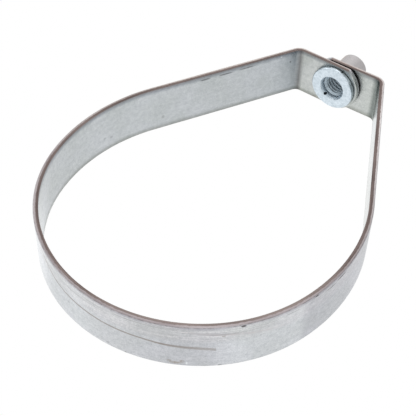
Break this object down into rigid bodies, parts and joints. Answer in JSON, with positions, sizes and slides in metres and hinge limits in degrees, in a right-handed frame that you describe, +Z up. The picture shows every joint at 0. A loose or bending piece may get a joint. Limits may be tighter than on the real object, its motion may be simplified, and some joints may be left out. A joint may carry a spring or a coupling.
{
  "type": "swivel ring hanger",
  "caption": "Galvanised steel strap ring for a 4 in nominal pipe, hung on a 3/8 in threaded rod by a flanged nut that lets the ring turn.",
  "frame": {"origin": "centre of the pipe seat, halfway across the strap's width, as the hanger hangs", "axes": "+Z up along the threaded rod, Y along the pipe, X across the ring, +X on the side of the leg whose end lies on top"},
  "size_m": [0.1192, 0.0208, 0.1695],
  "materials": {
    "galvanised_strap": "galvanised sheet with a fine mottle, bare steel at the slit edges",
    "zinc_plated_nut": "bright zinc plating, faint turning rings on the flange"
  },
  "bodies": {
    "nut": {"swivel_nut": "zinc_plated_nut"},
    "band": {"ring_band": "galvanised_strap"}
  },
  "joints": [
    {"name": "ring_swivel", "type": "hinge", "parent": "nut", "child": "band", "pos_m": [0, 0, 0.0937], "axis": [0, 0, 1], "continuous": true}
  ]
}
